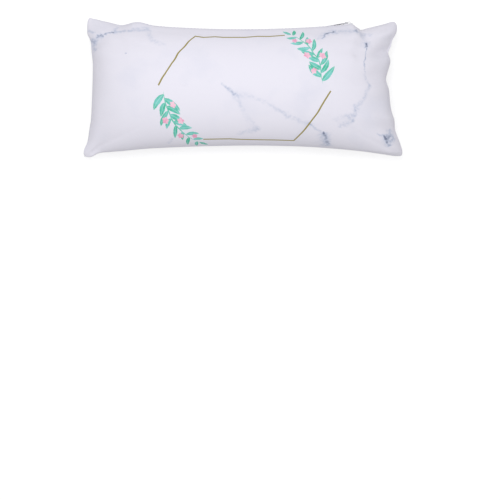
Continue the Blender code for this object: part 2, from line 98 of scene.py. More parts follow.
# the cushion cover: its four seams as pairs in mm, and how it is filled; all lengths are in mm
cover = {
    "zipLeftEnd": [(-139.6, 62.6), (-137.6, 63.2), (-134.9, 62.4), (-130.4, 61.0), (-125.1, 59.4),
                   (-119.7, 58.0), (-114.4, 56.5), (-109.0, 55.2), (-103.6, 56.0)],
    "zipRightEnd": [(103.4, 51.9), (106.0, 51.6), (108.8, 52.4), (117.8, 54.9), (126.8, 57.7),
                    (130.5, 59.4), (133.0, 59.7), (135.2, 58.7)],
    "plain": [(-142.6, -62.8), (-140.0, -63.9), (-137.6, -64.0), (-134.9, -63.0), (-132.2, -61.2),
              (-129.0, -59.7), (-119.7, -58.6), (-106.3, -57.4), (-87.6, -55.5), (-50.1, -53.7),
              (0.8, -52.6), (50.0, -53.4), (76.8, -55.1), (103.8, -57.7), (121.4, -60.3),
              (136.7, -62.9), (141.6, -62.8)],
    "left": [(62.6, -139.6), (57.9, -140.6), (52.6, -140.6), (47.2, -140.6), (43.6, -138.8),
             (40.1, -137.4), (31.1, -136.5), (18.6, -135.3), (-6.4, -136.0), (-27.8, -136.9),
             (-38.5, -138.7), (-49.2, -140.5), (-54.6, -143.0), (-58.2, -144.3), (-60.8, -144.1),
             (-62.8, -142.6)],
    "right": [(58.7, 135.2), (56.4, 136.8), (52.4, 137.2), (46.9, 136.2), (41.5, 132.9), (36.0, 131.8),
              (29.9, 129.0), (23.7, 131.2), (16.4, 129.7), (6.1, 127.0), (-2.8, 129.8),
              (-14.8, 130.8), (-23.7, 132.4), (-29.7, 134.6), (-38.7, 135.3), (-50.7, 140.0),
              (-59.1, 142.4), (-62.8, 141.6)],
    # soft hollows of the printed panel: x, y, half length, half width, turn in degrees, depth
    "hollows": [(-131.0, 38.0, 13.0, 4.5, 35.0, 1.8), (-133.0, 24.0, 18.0, 6.0, 100.0, 1.0),
                (125.5, 33.0, 16.0, 6.0, 42.0, 3.8), (122.0, 14.0, 14.0, 6.0, 30.0, 1.4),
                (122.5, 21.0, 8.0, 4.0, 35.0, 0.9),
                (126.0, -12.0, 16.0, 6.0, 10.0, 1.0), (129.0, -38.0, 18.0, 6.0, -50.0, 1.5),
                (-130.0, -55.0, 9.0, 4.0, 40.0, 1.2), (106.0, 46.0, 10.0, 4.0, -60.0, 1.0)],
    # how the right end's cloth swells behind the scallops of its seam
    "sideFold": {"from": 80.0, "inwards": 9.0, "bow": 0.0016, "reach": 11.0, "height": 0.55},
    "foldsFade": 5.0,   # folds and hollows fade out over this width along a seam
    # where the zipped seam bulges out at the zip's left end, and is pinched in at its right end
    "bulges": [{"at": -93.0, "reach": 8.5, "out": 2.3}, {"at": 101.5, "reach": 3.5, "out": -1.8}],
    "bulgeShare": 0.35,   # of the panel's half width, as is slotShare
    "pucker": {"height": 0.35, "size": 5.0, "fromSeam": 3.0},
    "seamTuck": {"depth": 0.3, "reach": 1.1},   # how far the cloth is drawn in by its seam
    "seamLift": {"height": 0.15, "reach": 4.0},   # how far the panels' edges stand apart
    "cornerPower": 60.0,   # the higher, the squarer the corners
    "cornerLoss": 0.8,   # the share of the filling that the corners lack
    "cells": (112, 52),
    "packing": (0.85, 0.95),   # of the mesh's columns and rows towards the seams
    "halfSize": (138.0, 62.0),   # of the flat panel
    "seamHeight": 27.0,
    "droop": {"height": 2.0, "from": 0.74},   # of the ends, from this share of the half length on
    "wave": 1.6,
    "rise": 34.0,   # of the printed panel's middle over the seams
    "drop": 31.0,   # of the underside's below them, before the table flattens it
    "settle": 2.0,
    "heldBelow": 0.4,
    "mostMoved": 4.0,
    "steps": 20,
    "weld": 0.01,
    "cloth": 0.8,
    "zipHalfRun": 100.0,
    "bowStep": 4.0,   # second point on the bow, which gives the seam's ends their slope
    "slotHalf": 3.85,   # half the height of the slot that the zip closes
    "slotShare": 0.3,
    "slotEnd": 6.0,   # the run over which the slot closes at each end of the zip
    "fill": 0.85,
    "printSpan": 400.0,   # of the cloth that the print's map covers
}

# the zipped seam lies on a circle about its joint's centre, so that the slider can follow it
bowCentre = Vector(next(joint["pos_m"] for joint in frame["joints"] if joint["name"] == "zip_travel")) / mm
zipRadius = 1002.5


def zipBow(x):
    return bowCentre.y - math.sqrt(zipRadius ** 2 - (x - bowCentre.x) ** 2)


def seamPlace(side, w):
    # a point of one seam, w from -1 to 1 along it
    if side == "zip":
        left, right = cover["zipLeftEnd"], cover["zipRightEnd"]
        x = mix(left[0][0], right[-1][0], (w + 1) / 2)
        run = cover["zipHalfRun"]
        if abs(x - bowCentre.x) < run:
            return Vector((x, zipBow(x)))
        inner = bowCentre.x + math.copysign(run, x)
        further = inner - math.copysign(cover["bowStep"], x)
        onBow = [(inner, zipBow(inner)), (further, zipBow(further))]
        return Vector((x, curveThrough((left if x < 0 else right) + onBow, x)))
    points = cover[side]
    along = mix(points[0][0], points[-1][0], (w + 1) / 2)
    across = curveThrough(points, along)
    return Vector((along, across)) if side == "plain" else Vector((across, along))


def planPlace(u, v):
    # the sheet stretched between the four seams, its corners rounded
    power = cover["cornerPower"]
    reach = (abs(u) ** power + abs(v) ** power) ** (1 / power)
    if reach > 0:
        tighten = max(abs(u), abs(v)) / reach
        u, v = u * tighten, v * tighten
    zipped, plain = seamPlace("zip", u), seamPlace("plain", u)
    left, right = seamPlace("left", -v), seamPlace("right", -v)
    across, along = (u + 1) / 2, (v + 1) / 2
    low = mix(seamPlace("plain", -1), seamPlace("plain", 1), across)
    high = mix(seamPlace("zip", -1), seamPlace("zip", 1), across)
    return mix(plain, zipped, along) + mix(left, right, across) - mix(low, high, along)


def fullness(u, v):
    # 1 in the middle of a panel, falling to 0 at its seams
    ends = math.sqrt(max(0.0, 1 - abs(u) ** 4))
    sides = math.sqrt(max(0.0, 1 - v * v))
    return ends * sides * (1 - cover["cornerLoss"] * abs(u) ** 6 * abs(v) ** 3)


def seamHeight(u, v):
    # lower towards the corners, and a little uneven there
    start = cover["droop"]["from"]
    droop = cover["droop"]["height"] * ease((abs(u) - start) / (1 - start)) * v ** 4
    wave = cover["wave"] * abs(u) ** 10 * noise.noise(Vector((2.2 * u, 4.2 * v, 1.7)))
    return cover["seamHeight"] - droop + wave


def softFloor(height):
    # the underside settles flat where it would sink below the table
    settle = cover["settle"]
    if height <= -settle:
        return 0.0
    return (height + settle) ** 2 / (4 * settle) if height < settle else height


def spread(w, tightness):
    # packs the rows of the mesh towards the seams
    return math.sin(math.pi / 2 * w * tightness) / math.sin(math.pi / 2 * tightness)


def makeSheet(bm, upper):
    nx, ny = cover["cells"]
    made = bmesh.ops.create_grid(bm, x_segments=nx, y_segments=ny, size=1.0)
    sheetMap = bm.loops.layers.uv.get("sheet") or bm.loops.layers.uv.new("sheet")
    printMap = bm.loops.layers.uv.get("print") or bm.loops.layers.uv.new("print")
    faces = {f for vert in made["verts"] for f in vert.link_faces}
    grid = {(round((vert.co.x + 1) / 2 * nx), round((vert.co.y + 1) / 2 * ny)): vert
            for vert in made["verts"]}
    for face in faces:
        face.material_index = 0 if upper else 1
        for loop in face.loops:
            loop[sheetMap].uv = ((loop.vert.co.x + 1) / 2, (loop.vert.co.y + 1) / 2)
    for vert in made["verts"]:
        wx, wy = vert.co.x, vert.co.y
        u = spread(wx, cover["packing"][0])
        v = mix(spread(wy, cover["packing"][1]), wy, abs(u) ** 8)
        x, y = planPlace(u, v)
        full = fullness(u, v)
        if upper:
            z = seamHeight(u, v) + cover["rise"] * full
        else:
            z = softFloor(seamHeight(u, v) - cover["drop"] * full)
        vert.co = (x * mm, y * mm, z * mm)
    # the cloth's own flat place, measured along its rows and columns from the middle
    flat = {}
    for j in range(ny + 1):
        run = [0.0]
        for i in range(nx):
            run.append(run[-1] + (grid[i + 1, j].co - grid[i, j].co).length)
        for i in range(nx + 1):
            flat[grid[i, j]] = [run[i] - run[nx // 2], 0.0]
    for i in range(nx + 1):
        run = [0.0]
        for j in range(ny):
            run.append(run[-1] + (grid[i, j + 1].co - grid[i, j].co).length)
        for j in range(ny + 1):
            flat[grid[i, j]][1] = run[j] - run[ny // 2]
    for face in faces:
        for loop in face.loops:
            loop[printMap].uv = [0.5 + place / cover["printSpan"] / mm for place in flat[loop.vert]]
    if not upper:
        bmesh.ops.reverse_faces(bm, faces=list(faces))


def inflateCover():
    # both panels joined along their seams, blown up by the filling
    bm = bmesh.new()
    makeSheet(bm, True)
    makeSheet(bm, False)
    rim = {vert for edge in bm.edges if edge.is_boundary for vert in edge.verts}
    bmesh.ops.remove_doubles(bm, verts=list(rim), dist=cover["weld"] * mm)
    bm.verts.index_update()
    bm.normal_update()
    # the flat underside and the seams stay where they are
    held = [vert.index for vert in bm.verts if vert.co.z < cover["heldBelow"] * mm
            or len({face.material_index for face in vert.link_faces}) > 1]
    mesh = bpy.data.meshes.new("blownCover")
    bm.to_mesh(mesh)
    bm.free()
    blown = bpy.data.objects.new("blownCover", mesh)
    scene.collection.objects.link(blown)
    start = [vert.co.copy() for vert in mesh.vertices]
    blown.vertex_groups.new(name="held").add(held, 1.0, "REPLACE")
    cloth = blown.modifiers.new("cloth", "CLOTH")
    settings = cloth.settings
    settings.quality = 5
    settings.mass = 0.15
    settings.tension_stiffness = settings.compression_stiffness = 40
    settings.shear_stiffness = 20
    settings.bending_stiffness = 0.3
    settings.vertex_group_mass = "held"
    settings.shrink_min = 0.0
    settings.use_pressure = True
    settings.uniform_pressure_force = 2.5
    settings.effector_weights.gravity = 0
    cloth.collision_settings.use_collision = False
    for step in range(cover["steps"]):
        scene.frame_set(step + 1)
    graph = bpy.context.evaluated_depsgraph_get()
    settled = [vert.co.copy() for vert in blown.evaluated_get(graph).data.vertices]
    blown.modifiers.remove(cloth)
    limit = cover["mostMoved"] * mm
    for vert, before, after in zip(mesh.vertices, start, settled):
        move = after - before
        if move.length > limit:
            move = move.normalized() * limit
        vert.co = before + move
        vert.co.z = max(vert.co.z, 0.0)
    moves = sorted((after - before).length for before, after in zip(start, settled))
    print("cover blown up, moved by up to", round(moves[-1] / mm, 1), "mm, median",
          round(moves[len(moves) // 2] / mm, 1), "mm")
    smooth = blown.modifiers.new("smooth", "SUBSURF")
    smooth.levels = smooth.render_levels = 1
    graph = bpy.context.evaluated_depsgraph_get()
    fine = bpy.data.meshes.new_from_object(blown.evaluated_get(graph))
    bpy.data.objects.remove(blown, do_unlink=True)
    return fine


def hollow(x, y):
    # how deep the printed panel's soft hollows are at a place
    depth = 0.0
    for cx, cy, along, across, turn, deep in cover["hollows"]:
        offset = Matrix.Rotation(-math.radians(turn), 2) @ Vector((x - cx, y - cy))
        depth += deep * math.exp(-(offset.x / along) ** 2 - (offset.y / across) ** 2)
    return depth


def sideFold(x, y):
    # behind each scallop of the right seam the cloth swells, and between them it sinks
    fold = cover["sideFold"]
    if x <= fold["from"]:
        return 0.0
    edge = curveThrough(cover["right"], y)
    middle = mix(cover["right"][0][1], cover["right"][-1][1], 0.5) - fold["inwards"] + fold["bow"] * y * y
    inwards = max(0.0, edge - x) / fold["reach"]
    return fold["height"] * (edge - middle) * inwards * math.exp(1 - inwards)


def seamDistance(wx, wy):
    # mm on the flat cloth to the nearest seam, and the way inwards from it
    toSide = (1 - abs(wx)) * cover["halfSize"][0]
    toLong = (1 - abs(wy)) * cover["halfSize"][1]
    if toLong < toSide:
        return toLong, Vector((0, -math.copysign(1, wy), 0))
    return toSide, Vector((-math.copysign(1, wx), 0, 0))


def makePanel(name, blown, index, node):
    # one panel of the blown cover: its seam tucked in, its puckers, folds and half of the zip's slot
    tuck, lift, pucker = cover["seamTuck"], cover["seamLift"], cover["pucker"]
    bm = bmesh.new()
    bm.from_mesh(blown)
    bmesh.ops.delete(bm, geom=[f for f in bm.faces if f.material_index != index], context="FACES")
    side = 1 if index == 0 else -1
    sheetMap = bm.loops.layers.uv["sheet"]
    for vert in bm.verts:
        wx, wy = (2 * c - 1 for c in vert.link_loops[0][sheetMap].uv)
        x = vert.co.x / mm - bowCentre.x
        beyond = abs(x) - cover["zipHalfRun"]
        atZip = 1 - ease(beyond / cover["slotEnd"] + 0.5) if wy > 0 else 0.0
        distance, inwards = seamDistance(wx, wy)
        vert.co += inwards * tuck["depth"] * mm * math.exp(-(distance / tuck["reach"]) ** 2) * (1 - atZip)
        vert.co.z += side * lift["height"] * mm * (1 - atZip) * ease(1 - distance / lift["reach"])
        gathers = noise.noise(Vector((x / pucker["size"], vert.co.y / mm / pucker["size"], side)))
        near = distance / pucker["fromSeam"]
        vert.co.z += pucker["height"] * mm * gathers * near * math.exp(1 - near)
        if side > 0:
            x, y = vert.co.x / mm, vert.co.y / mm
            vert.co.z += (sideFold(x, y) - hollow(x, y)) * ease(distance / cover["foldsFade"]) * mm
        for bulge in cover["bulges"]:
            if wy > 0 and (side > 0 or bulge["out"] < 0):
                swell = math.exp(-((vert.co.x / mm - bulge["at"]) / bulge["reach"]) ** 2)
                vert.co.y += bulge["out"] * mm * swell * ease(1 - (1 - wy) / cover["bulgeShare"])
        vert.co.z += side * cover["slotHalf"] * mm * atZip * ease(1 - (1 - wy) / cover["slotShare"])
    for face in bm.faces:
        face.material_index = 0
    panel = addObject(name, bm)
    wall = panel.modifiers.new("clothThickness", "SOLIDIFY")
    wall.thickness = cover["cloth"] * mm
    wall.offset = -1
    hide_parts(node)
    return panel


blown = inflateCover()
frontCover = makePanel("frontCover", blown, 0, "front_panel")
backCover = makePanel("backCover", blown, 1, "back_panel")

# the stuffed insert, kept just inside the cover's cloth
bag = {"behind": 1.5, "rounds": 3, "fill": 0.9}


def makeInsert():
    # the CAD solid made finer, then smoothed and drawn inside the cover in turns
    shell = bmesh.new()
    shell.from_mesh(blown)
    walls = BVHTree.FromBMesh(shell)
    shell.free()
    bm = bmesh.new()
    bm.from_mesh(frame["nodes"]["inner_cushion"].data)
    bmesh.ops.remove_doubles(bm, verts=bm.verts[:], dist=cover["weld"] * mm)
    bmesh.ops.subdivide_edges(bm, edges=bm.edges[:], cuts=1, use_grid_fill=True)
    for turn in range(bag["rounds"]):
        if turn:
            bmesh.ops.smooth_vert(bm, verts=bm.verts[:], factor=0.5, use_axis_x=True,
                                  use_axis_y=True, use_axis_z=True)
        for vert in bm.verts:
            place, normal = walls.find_nearest(vert.co)[:2]
            if (vert.co - place).dot(normal) > -bag["behind"] * mm:
                vert.co = place - normal * bag["behind"] * mm
    return addObject("stuffedInsert", bm)


insert = makeInsert()
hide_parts("inner_cushion")
print("cover and insert made")

# the zip: two rows of coil turns, the thread that holds them, the slider and its tab; lengths in mm
zipper = {
    "tapeDepth": 1.7,
    "run": 99.2,
    "pitch": 1.25,
    "wire": 0.42,
    "wireSides": 5,
    "turnSides": 9,
    "turnRing": 1.0,   # radius of the round ring that a turn is drawn out of
    "turnWidth": 2.4,
    "turnHeight": 1.3,
    "turnMiddle": 1.08,
    "lean": 12.0,
    "clear": 0.35,
    "stitchPitch": 2.5,
    "stitchLength": 2.1,
    "stitchWide": 0.35,
    "stitchRounding": 0.1,
    "stitchRise": 1.75,
    "stitchSunk": 0.15,
    "weld": 0.002,
    "sharp": 25.0,
    "rounding": 0.14,
    "tabBend": {"out": 1.1, "from": 4.0, "run": 7.0},   # the tab is a little bent to the tape
}


def alongZip(bm, count):
    # repeats the shape that stands at the zip's left end along its bow
    whole = 2 * math.asin(zipper["run"] / zipRadius)
    bmesh.ops.spin(bm, geom=bm.verts[:] + bm.edges[:] + bm.faces[:], cent=bowCentre * mm,
                   axis=(0, 0, 1), angle=whole * (count - 1) / count, steps=count - 1, use_duplicate=True)


def atZipStart(rise, out):
    # the zip's left end, rise above the line where its rows meet and out from its tape
    radius = zipRadius + zipper["tapeDepth"] - out
    angle = math.asin(zipper["run"] / zipRadius)
    middle = bowCentre * mm + Vector((0, 0, rise * mm))
    return (Matrix.Translation(middle) @ Matrix.Rotation(-angle, 4, "Z")
            @ Matrix.Translation((0.5 * zipper["pitch"] * mm, -radius * mm, 0)))


def makeCoil(name, side, node):
    halfWire, ring = zipper["wire"] / 2, zipper["turnRing"]
    bm = bmesh.new()
    made = bmesh.ops.create_circle(bm, segments=zipper["wireSides"], radius=halfWire * mm)
    bmesh.ops.translate(bm, verts=made["verts"], vec=(ring * mm, 0, 0))
    bmesh.ops.spin(bm, geom=bm.verts[:] + bm.edges[:], cent=(0, 0, 0), axis=(0, 1, 0),
                   angle=2 * math.pi, steps=zipper["turnSides"], use_merge=True)
    # the round ring drawn out to the turn's height and width, its wire kept round
    for vert in bm.verts:
        outwards = Vector((vert.co.x, 0, vert.co.z)).normalized()
        vert.co.x += outwards.x * (zipper["turnHeight"] / 2 - halfWire - ring) * mm
        vert.co.z += outwards.z * (zipper["turnWidth"] / 2 - halfWire - ring) * mm
    bmesh.ops.rotate(bm, verts=bm.verts[:], matrix=Matrix.Rotation(math.pi / 2, 3, "Z"))
    lean = side * math.radians(zipper["lean"])
    bmesh.ops.rotate(bm, verts=bm.verts[:], matrix=Matrix.Rotation(lean, 3, "Y"))
    if side < 0:
        bmesh.ops.translate(bm, verts=bm.verts[:], vec=(zipper["pitch"] / 2 * mm, 0, 0))
    bm.transform(atZipStart(side * zipper["turnMiddle"], zipper["clear"] + zipper["turnHeight"] / 2))
    alongZip(bm, round(2 * zipper["run"] / zipper["pitch"]))
    bmesh.ops.recalc_face_normals(bm, faces=bm.faces[:])
    coil = addObject(name, bm)
    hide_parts(node)
    return coil


def makeCoilStitches(name, side):
    bm = bmesh.new()
    bmesh.ops.create_cube(bm, size=1.0)
    wide = zipper["stitchWide"] * mm
    bmesh.ops.scale(bm, verts=bm.verts[:], vec=(zipper["stitchLength"] * mm, wide, wide))
    bmesh.ops.bevel(bm, geom=bm.edges[:], offset=zipper["stitchRounding"] * mm, segments=1, profile=0.5,
                    affect="EDGES", material=-1)
    bm.transform(atZipStart(side * zipper["stitchRise"],
                            zipper["clear"] + zipper["turnHeight"] - zipper["stitchSunk"]))
    alongZip(bm, round(2 * zipper["run"] / zipper["stitchPitch"]))
    return addObject(name, bm)


def roundedCasting(name, node, body, bend=None):
    # the CAD solid with its edges rounded as a casting's are
    bm = bmesh.new()
    bm.from_mesh(frame["nodes"][node].data)
    bmesh.ops.remove_doubles(bm, verts=bm.verts[:], dist=zipper["weld"] * mm)
    bmesh.ops.dissolve_limit(bm, angle_limit=math.radians(1), verts=bm.verts[:], edges=bm.edges[:])
    sharp = [edge for edge in bm.edges
             if len(edge.link_faces) == 2 and edge.calc_face_angle() > math.radians(zipper["sharp"])]
    bmesh.ops.bevel(bm, geom=sharp, offset=zipper["rounding"] * mm, segments=2, profile=0.5,
                    affect="EDGES", material=-1, clamp_overlap=True)
    bmesh.ops.triangulate(bm, faces=[f for f in bm.faces if len(f.verts) > 4])
    if bend:
        start = max(vert.co.x for vert in bm.verts) / mm - bend["from"]
        for vert in bm.verts:
            vert.co.y -= bend["out"] * mm * ease((start - vert.co.x / mm) / bend["run"])
    made = addObject(name, bm, body, smooth=False)
    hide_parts(node)
    return made


coilUpper = makeCoil("zipCoilUpper", 1, "zip_coil_upper")
coilLower = makeCoil("zipCoilLower", -1, "zip_coil_lower")
coilStitchesUpper = makeCoilStitches("coilStitchesUpper", 1)
coilStitchesLower = makeCoilStitches("coilStitchesLower", -1)
slider = roundedCasting("sliderBody", "zip_slider", "slider")
pull = roundedCasting("pullTab", "zip_pull", "pull", zipper["tabBend"])

# topstitching through the folded edge of each panel, beside the zip
topstitch = {"run": 95.0, "pitch": 3.0, "length": 2.3, "thick": 0.42, "back": 2.2, "proud": 0.05}


def makeTopstitch(name, panel, side):
    surface = BVHTree.FromObject(panel, bpy.context.evaluated_depsgraph_get())
    bm = bmesh.new()
    for k in range(round(2 * topstitch["run"] / topstitch["pitch"])):
        x = bowCentre.x - topstitch["run"] + (k + 0.5) * topstitch["pitch"]
        height = cover["seamHeight"] + side * (cover["slotHalf"] + topstitch["back"])
        place, normal = surface.find_nearest(Vector((x, zipBow(x) + 1, height)) * mm)[:2]
        along = (Vector((1, 0, 0)) - normal * normal.x).normalized()
        turn = Matrix((along, normal.cross(along), normal)).transposed().to_4x4()
        thick = topstitch["thick"] * mm
        made = bmesh.ops.create_icosphere(bm, subdivisions=1, radius=0.5)
        lifted = Matrix.Translation(place + normal * topstitch["proud"] * mm)
        stitch = Matrix.Diagonal((topstitch["length"] * mm, thick, thick, 1))
        bmesh.ops.transform(bm, verts=made["verts"], matrix=lifted @ turn @ stitch)
    return addObject(name, bm)


topstitchUpper = makeTopstitch("topstitchUpper", frontCover, 1)
topstitchLower = makeTopstitch("topstitchLower", backCover, -1)
print("zip made")


def hexColor(code):
    channels = [int(code[k:k + 2], 16) / 255 for k in (1, 3, 5)]
    return tuple(c / 12.92 if c <= 0.04045 else ((c + 0.055) / 1.055) ** 2.4 for c in channels) + (1.0,)


def add(tree, kind, sockets=None, **settings):
    # a node with its settings; each socket takes a value or another node's output
    made = tree.nodes.new("ShaderNode" + kind)
    for name, value in settings.items():
        setattr(made, name, value)
    for key, value in (sockets or {}).items():
        if isinstance(value, bpy.types.NodeSocket):
            tree.links.new(value, made.inputs[key])
        else:
            made.inputs[key].default_value = value
    return made


def newMaterial(name, color, roughness, **plain):
    made = bpy.data.materials.new(name)
    made.use_nodes = True
    shader = made.node_tree.nodes["Principled BSDF"]
    shader.inputs["Base Color"].default_value = hexColor(color)
    shader.inputs["Roughness"].default_value = roughness
    for socket, value in plain.items():
        shader.inputs[socket].default_value = value
    return made, made.node_tree, shader


def dress(material, *pieces):
    for piece in pieces:
        piece.data.materials.clear()
        piece.data.materials.append(material)


# the print, in mm on the flat cloth from the cushion's middle; the sprig counts from the
# artwork's own centre and is drawn again turned half round, and wavers are noise scale and reach
artwork = {
    "centre": (2.4, -2.9),
    "cloth": "#EAE8F3",
    "veinCore": "#5F6885",
    "veinWash": "#C6CCE0",
    "haze": "#D3D6E8",
    "gold": "#9B8E51",
    "leafDeep": "#38B794",
    "leafPale": "#83D3CF",
    "leafRib": "#C4EFEA",
    "blossom": "#F0A3C4",
    "blossomPale": "#F9D3E2",
    "goldWidth": 1.3,
    "goldLines": [
        [(-71.8, -0.9), (-64.9, 9.4), (-60.8, 18.4), (-54.2, 28.3), (-47.0, 38.7), (-41.0, 47.9),
         (-33.5, 46.5), (-23.5, 47.6), (-16.0, 46.9), (3.0, 47.1), (14.0, 48.6), (24.5, 48.4), (37.6, 49.9)],
        [(78.8, -6.0), (70.9, -17.8), (59.7, -34.5), (50.0, -47.0), (45.0, -54.7),
         (30.6, -54.0), (14.7, -53.6), (-1.3, -53.0), (-11.9, -52.1), (-34.8, -52.4)]],
    "stem": [(70.0, 3.0), (71.0, 32.0), (41.0, 53.5)],
    "stemWidth": 1.6,
    "leaves": 15,
    "leafLength": (16.5, 9.5),
    "leafWidth": (7.6, 4.4),
    "leafAngle": (36.0, 52.0),
    "leafRun": (0.05, 0.97),
    "sprigWaver": (0.8, 0.9),
    "blossomWide": 0.85,
    # blossoms: share of the stem, place beside it, size
    "blossoms": [(0.24, 6.4, 4.2), (0.44, -5.4, 4.6), (0.56, 6.0, 4.6), (0.74, -4.4, 4.2), (0.88, 3.8, 3.6)],
    "veinWavers": [(0.09, 7.0), (0.45, 2.4)],
    # marble veins: start, end, half width, strength
    "veins": [
        (112.4, 44.0, 113.4, 39.0, 0.75, 1.1), (113.0, 46.0, 113.0, 38.0, 4.5, 0.2),
        (114.0, 38.6, 112.0, 30.0, 0.5, 0.5),
        (112.2, 30.5, 109.6, 23.0, 0.6, 0.5), (109.6, 23.6, 112.4, 14.0, 0.6, 0.4),
        (107.0, 53.0, 112.8, 43.0, 2.2, 0.15), (100.0, 56.0, 108.0, 52.0, 2.4, 0.13),
        (74.2, 51.2, 80.6, 55.4, 0.55, 1.0), (74.4, 51.3, 71.4, 43.4, 0.8, 0.5),
        (66.0, 44.0, 82.0, 57.0, 4.0, 0.22),
        (80.0, 55.0, 104.0, 56.0, 2.6, 0.26), (100.0, 58.0, 118.0, 52.0, 2.0, 0.22),
        (111.0, 14.0, 116.0, 2.0, 1.6, 0.2), (116.0, 3.0, 109.0, -9.0, 1.8, 0.26),
        (109.4, -8.0, 99.3, -22.0, 2.0, 0.24), (99.5, -21.4, 97.0, -34.0, 1.8, 0.2),
        (98.0, -33.0, 84.0, -38.0, 2.0, 0.22), (126.0, -42.0, 131.0, -56.0, 5.0, 0.22),
        (131.5, -37.0, 135.0, -51.0, 2.8, 0.32),
        (103.0, -18.0, 92.0, -33.0, 3.0, 0.14), (96.0, -28.0, 80.0, -33.0, 2.0, 0.16),
        (70.2, -43.4, 71.4, -46.8, 0.9, 1.1), (71.1, -44.0, 74.0, -64.0, 4.6, 0.38),
        (71.1, -45.9, 76.0, -60.0, 1.3, 0.3), (58.0, -36.0, 71.4, -45.6, 0.9, 0.3),
        (125.4, -44.4, 126.8, -46.6, 0.8, 1.1), (126.4, -45.4, 131.5, -54.5, 1.0, 0.75),
        (118.0, -42.0, 126.4, -45.4, 1.0, 0.3), (126.4, -45.0, 132.0, -47.0, 2.6, 0.3),
        (-17.0, 1.4, -11.6, -3.4, 1.0, 0.36), (-12.0, -3.0, -4.4, -8.6, 1.6, 0.42),
        (-5.0, -8.0, 1.5, -24.0, 2.4, 0.2), (-4.9, -8.1, 13.3, -11.7, 2.4, 0.16),
        (13.0, -11.6, 26.2, -18.1, 1.6, 0.17), (25.9, -17.9, 42.0, -29.0, 2.2, 0.24),
        (41.8, -28.9, 64.2, -38.6, 1.8, 0.22), (0.0, -24.0, 14.0, -42.0, 2.6, 0.15),
        (14.0, -40.0, -6.0, -46.0, 2.2, 0.2),
        (-139.0, 51.5, -130.9, 50.0, 1.4, 0.35), (-130.9, 44.9, -114.0, 53.0, 0.9, 0.6),
        (-136.0, 40.0, -124.0, 47.2, 3.2, 0.3), (-138.0, 44.0, -132.0, 32.0, 2.6, 0.36),
        (-116.0, 52.0, -97.0, 53.6, 2.2, 0.3), (-98.0, 56.0, -80.0, 55.0, 2.8, 0.3),
        (-84.2, 50.6, -76.0, 40.0, 2.4, 0.2), (-76.4, 40.5, -66.0, 36.6, 2.4, 0.18),
        (-110.0, 60.0, -117.0, 52.0, 1.6, 0.25),
        (-100.6, 28.9, -100.0, 27.4, 0.8, 0.55), (-66.8, -57.0, -62.0, -50.0, 1.5, 0.24)],
}


def newGroup(name, inputs, outputs):
    # an empty group of nodes for plain numbers, with what it is given and what it returns
    group = bpy.data.node_groups.new(name, "ShaderNodeTree")
    for label in inputs:
        group.interface.new_socket(label, in_out="INPUT", socket_type="NodeSocketFloat")
    for label in outputs:
        group.interface.new_socket(label, in_out="OUTPUT", socket_type="NodeSocketFloat")
    return group, group.nodes.new("NodeGroupInput").outputs, group.nodes.new("NodeGroupOutput").inputs


def makeStrokeGroup():
    # a soft stroke along x from 0 to 1, y counted in half widths
    group, given, result = newGroup("softStroke", ["X", "Y", "Strength"], ["Value"])
    square = add(group, "Math", {0: given["Y"], 1: given["Y"]}, operation="MULTIPLY").outputs[0]
    fall = add(group, "Math", {0: square, 1: -0.7}, operation="MULTIPLY").outputs[0]
    across = add(group, "Math", {0: math.e, 1: fall}, operation="POWER").outputs[0]
    start = add(group, "MapRange", {0: given["X"], 1: -0.08, 2: 0.12}, clamp=False,
                interpolation_type="SMOOTHSTEP").outputs[0]
    end = add(group, "MapRange", {0: given["X"], 1: 1.08, 2: 0.88}, clamp=False,
              interpolation_type="SMOOTHSTEP").outputs[0]
    along = add(group, "Math", {0: start, 1: end}, operation="MULTIPLY").outputs[0]
    shape = add(group, "Math", {0: along, 1: across}, operation="MULTIPLY").outputs[0]
    value = add(group, "Math", {0: shape, 1: given["Strength"]}, operation="MULTIPLY").outputs[0]
    group.links.new(value, result["Value"])
    return group


def makeLeafGroup():
    # a pointed leaf along x from 0 to 1, y counted in leaf widths, its midrib bent sideways
    group, given, result = newGroup("paintedLeaf", ["X", "Y", "Bend"], ["Mask", "Rib"])
    x = add(group, "Clamp", {0: given["X"]}).outputs[0]
    left = add(group, "Math", {0: 1.0, 1: x}, operation="SUBTRACT").outputs[0]
    foot = add(group, "Math", {0: x, 1: 0.62}, operation="POWER").outputs[0]
    tip = add(group, "Math", {0: left, 1: 0.85}, operation="POWER").outputs[0]
    half = add(group, "Math", {0: foot, 1: tip}, operation="MULTIPLY").outputs[0]
    arch = add(group, "Math", {0: x, 1: left}, operation="MULTIPLY").outputs[0]
    bent = add(group, "Math", {0: arch, 1: given["Bend"]}, operation="MULTIPLY").outputs[0]
    offset = add(group, "Math", {0: given["Y"], 1: bent}, operation="SUBTRACT").outputs[0]
    away = add(group, "Math", {0: offset}, operation="ABSOLUTE").outputs[0]
    inside = add(group, "Math", {0: half, 1: away}, operation="SUBTRACT").outputs[0]
    mask = add(group, "MapRange", {0: inside, 1: 0.0, 2: 0.05}, clamp=False,
               interpolation_type="SMOOTHSTEP").outputs[0]
    line = add(group, "MapRange", {0: away, 1: 0.08, 2: 0.02}, clamp=False,
               interpolation_type="SMOOTHSTEP").outputs[0]
    rib = add(group, "Math", {0: line, 1: mask}, operation="MULTIPLY").outputs[0]
    group.links.new(mask, result["Mask"])
    group.links.new(rib, result["Rib"])
    return group


